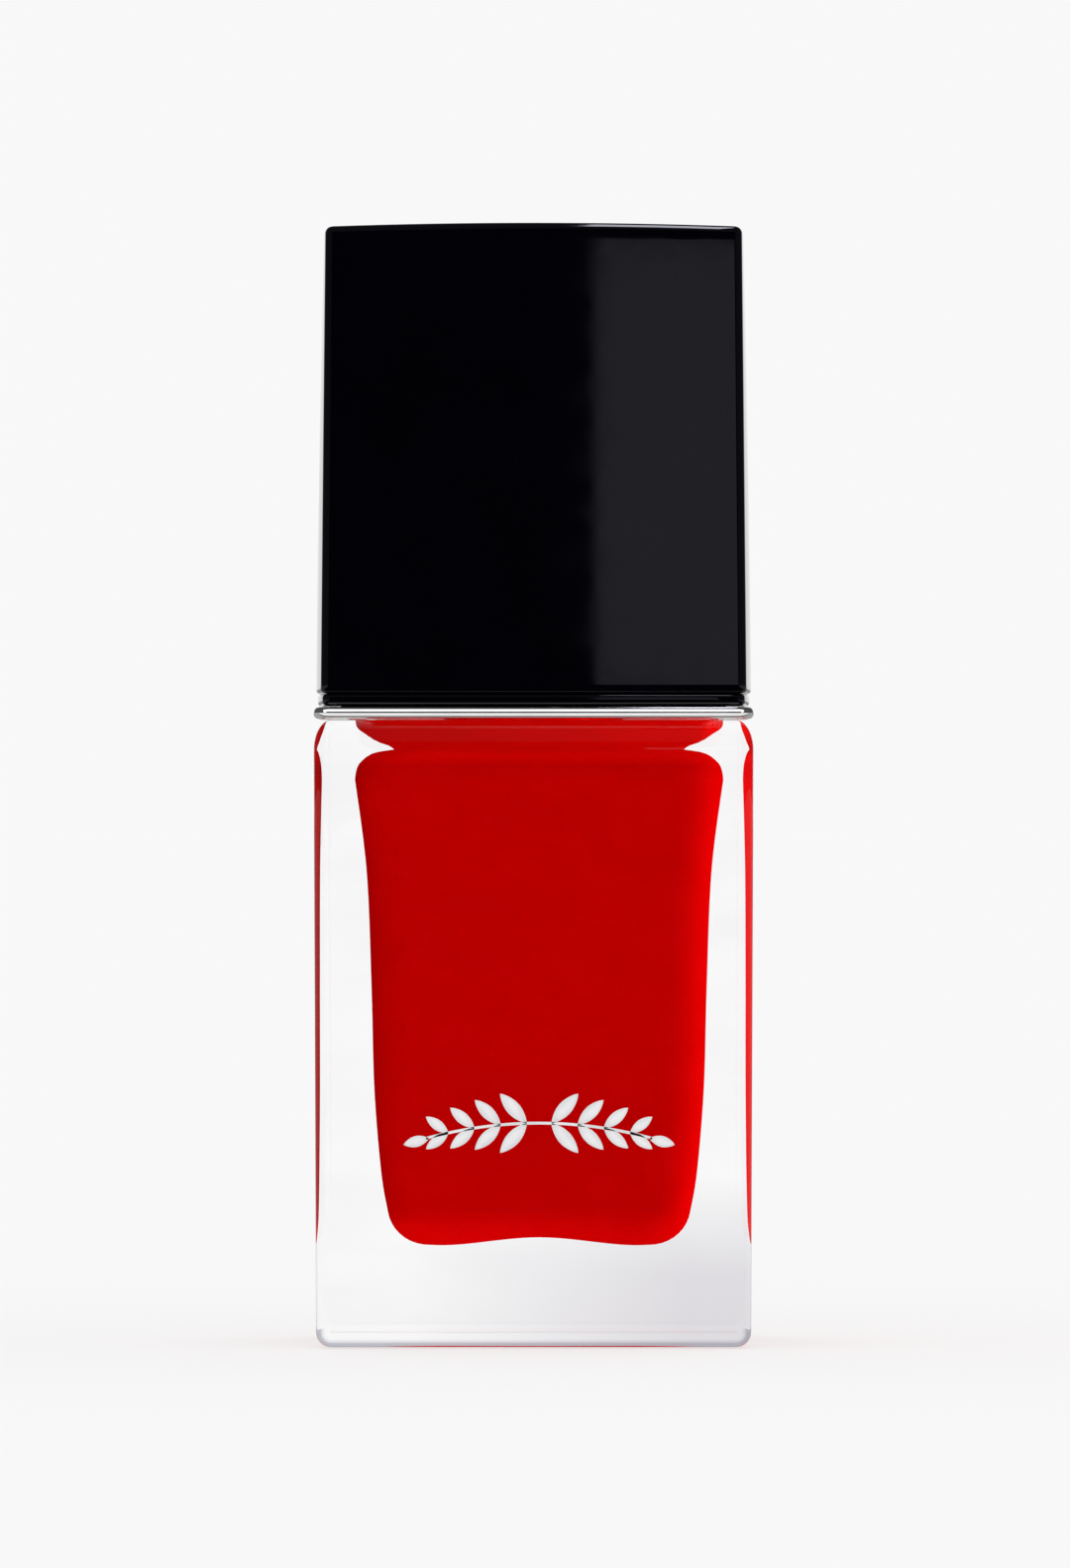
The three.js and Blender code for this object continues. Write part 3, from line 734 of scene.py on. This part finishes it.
def tuft_size(z):
    """Half width and half thickness of the tuft at a height."""
    for (z0, x0, y0), (z1, x1, y1) in zip(TUFT, TUFT[1:]):
        if z <= z1:
            t = max((z - z0) / (z1 - z0), 0.0)
            return between(x0, x1, t), between(y0, y1, t)
    return TUFT[-1][1:]


def bristle_skins():
    """Each filament runs from the round root to its own place in the flat, round-ended tip."""
    random.seed(7)
    filaments, thickness = 330, 0.055
    sides, steps = 5, 12
    spread_from = 11.5  # below this height the filaments run straight down
    skins = []
    for _ in range(filaments):
        reach, turn = math.sqrt(random.random()), random.random() * TAU
        u, v = reach * math.cos(turn), reach * math.sin(turn)
        tip = TUFT[0][0] + 2.1 * u * u + 0.3 * v * v + random.uniform(0.0, 0.35)
        stray = random.uniform(-0.06, 0.06)
        rings = []
        for i in range(steps + 1):
            z = between(tip, TUFT[-1][0], i / steps)
            half_x, half_y = tuft_size(max(z, spread_from))
            loose = stray * (1 - i / steps)
            x = u * (half_x - thickness) + loose
            y = v * (half_y - thickness) + loose / 2
            radius = thickness * (0.45 if i == 0 else 1.0)
            rings.append([(x + px, y + py, z) for px, py, _ in round_ring(0, radius, sides)])
        skins.append(skin(rings))
    return skins


def wet_core_skin():
    """Lacquer that clings between the bristles and ends in a small bead at the tip."""
    low, high, bead = 9.7, 22.6, 2.2
    steps = 24
    circle = round_ring(0, 1, 40)
    rings = []
    for i in range(1, steps):
        z = between(low + 0.05, high, i / steps)
        half_x, half_y = tuft_size(z)
        closing = math.sqrt(min((z - low) / bead, 1.0))
        wide, deep = half_x * 0.9 * closing, half_y * 0.86 * closing
        rings.append([(x * wide, y * deep, z) for x, y, _ in circle])
    return skin(rings)


def anchor_skin():
    """Strip of metal with slanted upper corners."""
    half, thick = ANCHOR_HIGH.x, ANCHOR_HIGH.y
    low, high = ANCHOR_LOW.z, ANCHOR_HIGH.z
    bevel, slant = 0.06, 0.4
    levels = [(low, half - bevel), (low + bevel, half), (high - slant, half), (high, half - slant)]
    rings = []
    for z, wide in levels:
        rings.append([(x * wide, y * thick, z) for x, y, _ in box_ring(z, 1.0, 1.0, 0.3)])
    return skin(rings)


def make_brush(looks):
    make("screw_cap", [closure_skin()], looks["cap"], "brush", ["brush_cap"])
    make("applicator_stem", [stem_skin()], looks["stem"], "brush", ["brush_stem"])
    bristles, wet_core = bristle_skins(), [wet_core_skin()]
    make("bristles", bristles, looks["bristle"], "brush", ["bristle_tuft"], weighted=False)
    make("lacquer_on_brush", wet_core, looks["wet"], "brush", (), weighted=False)
    make("anchor_strip", [anchor_skin()], looks["steel"], "brush", ["bristle_anchor"])
    low, high = LINER_LOW.z, LINER_HIGH.z
    inner, outer, edge = 2.2, LINER_HIGH.x, 0.15
    profile = arc(outer - edge, low + edge, edge, 270, 360, 3)
    profile += arc(outer - edge, high - edge, edge, 0, 90, 3)
    profile += arc(inner + edge, high - edge, edge, 90, 180, 3)
    profile += arc(inner + edge, low + edge, edge, 180, 270, 3)
    rings = skin(turned(profile, 96), closed=True)
    make("foam_liner", [rings], looks["foam"], "liner", ["sealing_liner"])


# ---------------------------------------------------------------- overcap

SHELL_BODY = SHELL_LOW.z + 0.95  # lower edge of the overcap's body, above its thin bead
SHELL_TOP_EDGE = 81.4
SHELL_CROWN = SHELL_HIGH.z - SHELL_TOP_EDGE
SHELL_EDGE = 0.5
SHELL_CORNER = 0.55
SHELL_BULGE = 0.55  # how far the narrow sides swell at the foot
SHELL_FRONT_BULGE = 0.12
POCKET = {"half_x": 14.05, "half_y": 9.15, "radius": 1.5}
POCKET_PLUG = grown(POCKET, -FIT)  # outline of what sits in the pocket
POCKET_CEILING = 79.4


def shell_size(z):
    """The overcap's outline: its sides swell like a barrel's between the corners."""
    t = (z - SHELL_BODY) / (SHELL_TOP_EDGE - SHELL_BODY)
    return {
        "half_x": between(15.42, 15.12, t),
        "half_y": between(10.4, 10.25, t),
        "radius": SHELL_CORNER,
        "bulge_x": between(SHELL_BULGE, 0.25, t**2),
        "bulge_y": SHELL_FRONT_BULGE,
    }


def crowned(ring, half_x, half_y):
    """Lifts a ring by the crown's height at each of its points. The long edges bow up nearly as far."""
    lifted = []
    for x, y, z in ring:
        share = max(1 - (x / half_x) ** 2, 0) * (1 - 0.1 * (y / half_y) ** 2)
        lifted.append((x, y, z + SHELL_CROWN * share))
    return lifted


def shell_skin():
    """From the pocket's ceiling down to the mouth, then up the outside to the crown."""
    low = SHELL_LOW.z
    rings = [box_ring(POCKET_CEILING, **scaled(POCKET, scale)) for scale in (0.2, 0.6)]
    rings += reversed(edge_rings(False, POCKET_CEILING, 1.0, lambda z: POCKET))
    rings += [box_ring(z, **POCKET) for z in (60.0, low + 0.1)]
    rings.append(box_ring(low, **grown(POCKET, 0.08)))
    # Thin bead under the body.
    bead = {
        "half_x": 15.3,
        "half_y": 10.25,
        "radius": SHELL_CORNER,
        "bulge_x": SHELL_BULGE,
        "bulge_y": SHELL_FRONT_BULGE,
    }
    rings += edge_rings(True, low, 0.35, lambda z: bead, 6)
    rings += edge_rings(False, SHELL_BODY - 0.02, 0.3, lambda z: bead, 5)
    # Body.
    foot_edge = 0.3
    rings += edge_rings(True, SHELL_BODY, foot_edge, shell_size, 6)
    for share in (0.01, 0.1, 0.2, 0.3, 0.4, 0.5, 0.6, 0.7, 0.8, 0.9, 0.985):
        z = between(SHELL_BODY + foot_edge, SHELL_TOP_EDGE - SHELL_EDGE, share)
        rings.append(box_ring(z, **shell_size(z)))
    # Crown.
    top = shell_size(SHELL_TOP_EDGE)
    half_x, half_y = top["half_x"] + 0.3, top["half_y"] + 0.2
    for ring in edge_rings(False, SHELL_TOP_EDGE, SHELL_EDGE, shell_size, 10):
        rings.append(crowned(ring, half_x, half_y))
    flat_x, flat_y = top["half_x"] - SHELL_EDGE, top["half_y"] - SHELL_EDGE
    for scale in (0.97, 0.85, 0.7, 0.55, 0.4, 0.25, 0.1):
        ring = box_ring(SHELL_TOP_EDGE, flat_x * scale, flat_y * scale, 0.4 * scale)
        rings.append(crowned(ring, half_x, half_y))
    return skin(rings)


def collar_skin():
    """A ring with a rounded front, and a lip that sits in the overcap's mouth."""
    low, lip_top = COLLAR_LOW.z, COLLAR_HIGH.z
    bead, rounding = 0.85, 0.28
    opening = {"half_x": 13.6, "half_y": 8.7, "radius": POCKET["radius"]}
    outer = {"half_x": COLLAR_HIGH.x, "half_y": COLLAR_HIGH.y, "radius": GLASS_CORNER}
    rings = [box_ring(low, **grown(opening, 0.1))]
    steps = 16
    for i in range(steps + 1):
        angle = math.pi * (i / steps - 0.5)
        draw_in = rounding * (1 - math.cos(angle))
        size = grown(outer, -draw_in)
        size["radius"] += draw_in / 2
        rings.append(box_ring(low + bead / 2 * (1 + math.sin(angle)), **size))
    edge = 0.06
    rings.append(box_ring(low + bead, **grown(POCKET_PLUG, edge)))
    rings.append(box_ring(low + bead + edge, **POCKET_PLUG))
    rings.append(box_ring(lip_top, **POCKET_PLUG))
    rings.append(box_ring(lip_top, **grown(opening, 0.04)))
    rings.append(box_ring(lip_top - 0.04, **opening))
    rings.append(box_ring(low + 0.1, **opening))
    return skin(rings, closed=True)


def insert_skins():
    """Plate, ribbed sleeve and two webs of the overcap's moulded insert."""
    low, high = INSERT_LOW.z, INSERT_HIGH.z
    plate_top = low + 0.95
    outer, inner, ribs, rib = 8.5, 7.92, 12, 0.12
    edge = 0.15
    count = 144

    def grip(widen=0.0):
        return lambda angle: inner + widen + rib * math.cos(ribs * angle)

    sleeve = turned([(outer, low + 0.1), (outer, high - edge), (outer - edge, high)], count)
    sleeve += turned([(grip(0.12), high), (grip(), high - edge)], count)
    sleeve += turned([(grip(), low + 0.3), (grip(0.2), low + 0.1)], count)
    plate = [box_ring(low, **grown(POCKET_PLUG, -0.08)), box_ring(low + 0.08, **POCKET_PLUG)]
    plate += [box_ring(plate_top, **POCKET_PLUG)]
    plate += turned([(outer - 0.2, plate_top), (outer - 0.2, low + 0.2), (outer - 0.1, low)])
    skins = [skin(sleeve, closed=True), skin(plate, closed=True)]
    for side in (-1, 1):
        start, end = outer - 0.25, POCKET_PLUG["half_x"]
        middle, half = side * (start + end) / 2, (end - start) / 2
        web = []
        for z, thin in ((plate_top - 0.2, 0.55), (61.7, 0.5), (62.0, 0.42)):
            web.append([(x + middle, y, z) for x, y, _ in box_ring(z, half, thin, 0.1)])
        skins.append(skin(web))
    return skins


def make_overcap(looks):
    gloss, metal, plastic = looks["gloss"], looks["metal"], looks["insert"]
    shell = make("black_overcap", [shell_skin()], gloss, "overcap", ["overcap_shell"])
    collar = make("metal_collar", [collar_skin()], metal, "overcap", ["collar_ring"])
    make("overcap_sleeve", insert_skins(), plastic, "overcap", ["overcap_insert"])
    return shell, collar


# ---------------------------------------------------------------- printed ornament


def leaf(base_x, base_z, angle, length, width):
    """Outline of a leaf from its stalk's end, in the plane of the glass front."""
    points = []
    steps = 14
    for i in range(steps + 1):
        t = i / steps
        points.append((length * t, width / 2 * math.sin(math.pi * t) ** 0.8))
    for i in range(1, steps):
        t = 1 - i / steps
        points.append((length * t, -width / 2 * math.sin(math.pi * t) ** 0.8))
    turn, lean = math.cos(angle), math.sin(angle)
    return [(base_x + a * turn - b * lean, base_z + a * lean + b * turn) for a, b in points]


def ornament_skins():
    """A leafy sprig on its side: a thin arched stalk with pairs of leaves, and a leaf at each end."""
    centre_x, centre_z, half_span, rise = CAVITY_CENTRE, 15.2, 8.2, 1.1
    half_stalk = 0.1

    def stalk(x):
        return centre_z + rise * (1 - ((x - centre_x) / half_span) ** 2)

    steps = 40
    xs = [between(centre_x - half_span, centre_x + half_span, i / steps) for i in range(steps + 1)]
    upper = [(x, stalk(x) + half_stalk) for x in xs]
    lower = [(x, stalk(x) - half_stalk) for x in reversed(xs)]
    outlines = [upper + lower]
    for side in (-1, 1):
        for k in range(4):
            x = centre_x + side * (0.9 + 1.9 * k)
            length = 2.9 - 0.3 * k
            for up in (-1, 1):
                lean = math.radians(48 - 4 * k) * up
                angle = lean if side > 0 else math.pi - lean
                outlines.append(leaf(x, stalk(x), angle, length, 1.0 - 0.08 * k))
        droop = -0.25 if side > 0 else math.pi + 0.25
        end = centre_x + side * half_span
        outlines.append(leaf(end - side * 0.2, stalk(end), droop, 1.9, 0.8))
    # Each outline is a flat plate of ink on the front of the glass.
    back, front = -GLASS_HALF_Y - 0.004, -GLASS_HALF_Y - 0.03
    skins = []
    for outline in outlines:
        count = len(outline)
        vertices = [(x, y, z) for y in (back, front) for x, z in outline]
        faces = [tuple(range(count)), tuple(reversed(range(count, 2 * count)))]
        for i in range(count):
            nxt = (i + 1) % count
            faces.append((i, i + count, nxt + count, nxt))
        skins.append((vertices, faces))
    return skins


# ---------------------------------------------------------------- studio

WHITE = 0.94  # how bright the backdrop is
GLASS_GLOW = 0.05  # how much brighter the floor and the backdrop are painted where seen through thick glass (painted light)
CAMERA_DISTANCE = 0.9
FRAME_HEIGHT = 113.75  # how much of the object's plane the picture's height covers, in millimetres
CAMERA_X = 0.1
CAMERA_Z = 40.9
PANEL_Y = -900


def card(name, centre, wide, high, lying=False, soft_edge=0.0, strength=0.0, only=None):
    """A card that only mirror reflections see: a black flag, or a panel of light with soft edges."""
    mesh = bpy.data.meshes.new(name)
    corners = [(-1, -1), (1, -1), (1, 1), (-1, 1)]
    vertices = [(a * wide / 2 * MM, 0, b * high / 2 * MM) for a, b in corners]
    mesh.from_pydata(vertices, [], [(0, 1, 2, 3)])
    board = add_object(name, mesh)
    board.location = Vector(centre) * MM
    board.rotation_euler.x = math.pi / 2 if lying else 0
    material, tree, _ = new_material(name)
    tree.nodes.clear()
    light = tree.nodes.new("ShaderNodeEmission")
    set_inputs(light, {"Color": (0.86, 0.86, 1.0, 1), "Strength": strength})
    surface = light.outputs[0]
    if soft_edge:
        surface = soft_cornered(tree, surface, wide / 2, high / 2, soft_edge)
    output = tree.nodes.new("ShaderNodeOutputMaterial")
    tree.links.new(surface, output.inputs["Surface"])
    mesh.materials.append(material)
    board.visible_camera = False
    board.visible_diffuse = False
    board.visible_transmission = False
    board.visible_shadow = False
    if only:
        board.light_linking.receiver_collection = group_of(f"{name} lights", only)


def soft_cornered(tree, surface, half_wide, half_high, soft):
    """Fades a card's light out over a soft edge with round corners."""

    def vector_maths(operation, first, second=None):
        node = tree.nodes.new("ShaderNodeVectorMath")
        node.operation = operation
        tree.links.new(first, node.inputs[0])
        if second:
            node.inputs[1].default_value = second
        return node

    inner_edge = ((half_wide - soft) * MM, 1.0, (half_high - soft) * MM)
    away = vector_maths("ABSOLUTE", place_in(tree)).outputs[0]
    past = vector_maths("SUBTRACT", away, inner_edge).outputs[0]
    outside = vector_maths("MAXIMUM", past, (0, 0, 0)).outputs[0]
    distance = vector_maths("LENGTH", outside).outputs["Value"]
    fade = mapped(tree, distance, 0.4 * soft * MM, soft * MM, 1, 0, smooth=True)
    dark = tree.nodes.new("ShaderNodeEmission")
    dark.inputs["Strength"].default_value = 0
    return mixed_shaders(tree, fade, dark.outputs[0], surface)


def make_floor():
    """A wide pale floor that shades softly under the bottle and melts into the backdrop."""
    mesh = bpy.data.meshes.new("floor")
    sides, radii = 96, (40, 300, 1500, 9000)
    vertices, faces = skin([round_ring(0, r, sides) for r in radii])
    bands = faces[: sides * (len(radii) - 1)]
    mesh.from_pydata([(x * MM, y * MM, 0) for x, y, _ in vertices], [], bands + [tuple(range(sides))])
    floor = add_object("floor", mesh)
    floor.location.z = -0.1 * MM
    material, tree, shader = new_material("floor")
    shaded = 0.3
    values = {
        "Base Color": (*grey(shaded), 1),
        "Roughness": 0.9,
        "Specular IOR Level": 0,
        "Emission Color": (1, 1, 1, 1),
    }
    set_inputs(shader, values)
    glow = mapped(tree, mirrored(tree), 0, 1, WHITE * (1 - shaded), 0.1)
    # The floor and the backdrop are painted a little brighter where they are seen through thick glass:
    # painted light that stands in for light gathered by the glass.
    glass_glow = maths(tree, "MULTIPLY", through_glass(tree), GLASS_GLOW)
    tree.links.new(maths(tree, "ADD", glow, glass_glow), shader.inputs["Emission Strength"])
    mesh.materials.append(material)


def area_light(name, centre, target, wide, high, power, only, shadows=None, mirrored_too=False):
    """A soft light on some pieces only, which can also choose the pieces that cast its shadows.

    It hides from mirror reflections unless told."""
    data = bpy.data.lights.new(name, "AREA")
    data.shape = "RECTANGLE"
    data.size, data.size_y = wide * MM, high * MM
    data.energy = power
    light = add_object(name, data)
    light.location = Vector(centre) * MM
    towards = (Vector(target) - Vector(centre)) * MM
    light.rotation_euler = towards.to_track_quat("-Z", "Y").to_euler()
    light.visible_camera = False
    light.visible_glossy = mirrored_too
    light.light_linking.receiver_collection = group_of(f"{name} lights", only)
    if shadows:
        light.light_linking.blocker_collection = group_of(f"{name} shadows", shadows)


def group_of(name, pieces):
    group = bpy.data.collections.new(name)
    for piece in pieces:
        group.objects.link(piece)
    return group


def mirrored(tree):
    """1 for light that reaches the eye by a reflection, 0 for what is seen straight or through glass."""
    ray = tree.nodes.new("ShaderNodeLightPath").outputs
    straight = maths(tree, "SUBTRACT", 1, ray["Is Transmission Ray"])
    return maths(tree, "MULTIPLY", ray["Is Glossy Ray"], straight)


def through_glass(tree):
    """1 for what is seen through glass, 0 for the light that falls on a matt surface behind it."""
    ray = tree.nodes.new("ShaderNodeLightPath").outputs
    clear = maths(tree, "LESS_THAN", ray["Diffuse Depth"], 0.5)
    return maths(tree, "MULTIPLY", ray["Is Transmission Ray"], clear)


def make_world():
    """White all round, but mirrors see a dim room, and glass sees greyer walls beside the backdrop."""
    world = bpy.data.worlds.new("studio")
    world.use_nodes = True
    tree = world.node_tree
    white = tree.nodes["Background"]
    set_inputs(white, {"Color": (1, 1, 1, 1), "Strength": WHITE})
    # Painted light: seen through glass, the backdrop is made a little brighter.
    bright = tree.nodes.new("ShaderNodeBackground")
    set_inputs(bright, {"Color": (1, 1, 1, 1), "Strength": WHITE + GLASS_GLOW})
    towards_back = along(tree, "Y", "Generated")

    def walls(strength, start, end, backdrop):
        """A room of one brightness with a backdrop behind."""
        room = tree.nodes.new("ShaderNodeBackground")
        set_inputs(room, {"Color": (0.9, 0.92, 1.0, 1), "Strength": strength})
        behind = mapped(tree, towards_back, start, end)
        return mixed_shaders(tree, behind, room.outputs[0], backdrop.outputs[0])

    behind_glass = walls(0.6, 0.9, 0.985, bright)
    in_mirrors = walls(0.08, 0.72, 0.9, white)
    seen = mixed_shaders(tree, through_glass(tree), white.outputs[0], behind_glass)
    seen = mixed_shaders(tree, mirrored(tree), seen, in_mirrors)
    tree.links.new(seen, tree.nodes["World Output"].inputs["Surface"])
    bpy.context.scene.world = world


def make_studio(pieces):
    make_world()
    bpy.context.scene.view_settings.view_transform = "Standard"
    make_floor()
    # The black front mirrors what stands round the camera: a black flag, and a dim panel on the right.
    card("black_flag", (0, -1000, CAMERA_Z), 700, 700)
    card("black_cloth", (0, -520, 0.5), 900, 980, lying=True)
    left, low = mirrored_place(5.3, 46.5)
    right, high = mirrored_place(15.3, 81.2)
    soft = 4.0
    centre = ((left + right) / 2 + soft, PANEL_Y, (low + high) / 2)
    card("dim_panel", centre, right - left + 4 * soft, high - low, soft_edge=soft, strength=0.42)
    # The overcap's top edge mirrors a narrow light overhead on the right.
    card("top_light", (45, -150, 700), 60, 500, lying=True, strength=9.0, only=[pieces["shell"]])
    # The lacquer's own lights reach it through the glass and under the overcap.
    filled = [pieces["lacquer"]]
    area_light("right_key", (420, 150, 30), (10, 0, 25), 200, 300, 2.1, filled, filled)
    area_light("shoulder_key", (120, -260, 460), (0, 0, 43), 300, 200, 1.05, filled, filled)
    area_light("floor_key", (40, -60, -300), (0, 0, 8), 300, 200, 1.1, filled, filled)
    collar = [pieces["collar"]]
    area_light("collar_sky", (0, -880, 520), (0, 0, 46), 1600, 940, 5.2, collar, mirrored_too=True)
    area_light("collar_floor", (0, -370, 1), (0, -370, 100), 900, 640, 1.6, collar, mirrored_too=True)


def mirrored_place(x, z):
    """Where at PANEL_Y the overcap's front, with its swell and its lean, mirrors the camera's view."""
    size = shell_size(z)
    reach = -PANEL_Y - size["half_y"]
    ratio = reach / (CAMERA_DISTANCE / MM - size["half_y"])
    swell = 2 * size["bulge_y"] * x / size["half_x"] ** 2
    drawn_in = shell_size(SHELL_BODY)["half_y"] - shell_size(SHELL_TOP_EDGE)["half_y"]
    lean = drawn_in / (SHELL_TOP_EDGE - SHELL_BODY)
    mirrored_x = x + (x - CAMERA_X) * ratio + 2 * swell * reach
    mirrored_z = z + (z - CAMERA_Z) * ratio + 2 * lean * reach
    return mirrored_x, mirrored_z


def make_camera():
    data = bpy.data.cameras.new("camera")
    camera = add_object("camera", data)
    camera.location = (CAMERA_X * MM, -CAMERA_DISTANCE, CAMERA_Z * MM)
    camera.rotation_euler = (math.pi / 2, 0, 0)
    to_front = CAMERA_DISTANCE / MM - GLASS_HALF_Y
    data.sensor_width = 36
    data.lens = data.sensor_width * to_front / FRAME_HEIGHT
    data.clip_start, data.clip_end = 0.01, 20
    bpy.context.scene.camera = camera


# ---------------------------------------------------------------- assembly

looks = {
    "glass": clear_glass(),
    "lacquer": red_lacquer(),
    "wet": wet_lacquer(),
    "gloss": black_gloss(),
    "metal": bright_metal(),
    "steel": polished_steel(),
    "cap": moulded_plastic("cap_plastic", grey(0.006), grey(0.012), 0.3, 0.42, 2600, 0.00003),
    "insert": moulded_plastic("insert_plastic", grey(0.014), grey(0.022), 0.4, 0.55, 2000, 0.00003),
    "foam": moulded_plastic("liner_foam", grey(0.74), grey(0.84), 0.7, 0.9, 5000, 0.00008),
    "stem": dipped("stem_plastic", grey(0.008), 36.0, 46.0),
    "bristle": dipped("bristle_nylon", (0.02, 0.012, 0.01), 24.0, 30.0),
    "label": label_film(),
    "ink": print_ink(),
}

make_camera()
lacquer = make_bottle(looks)
make_balls(looks)
make_brush(looks)
shell, collar = make_overcap(looks)
make_studio({"lacquer": lacquer, "shell": shell, "collar": collar})
make("printed_sprig", ornament_skins(), looks["ink"], "bottle", (), weighted=False)
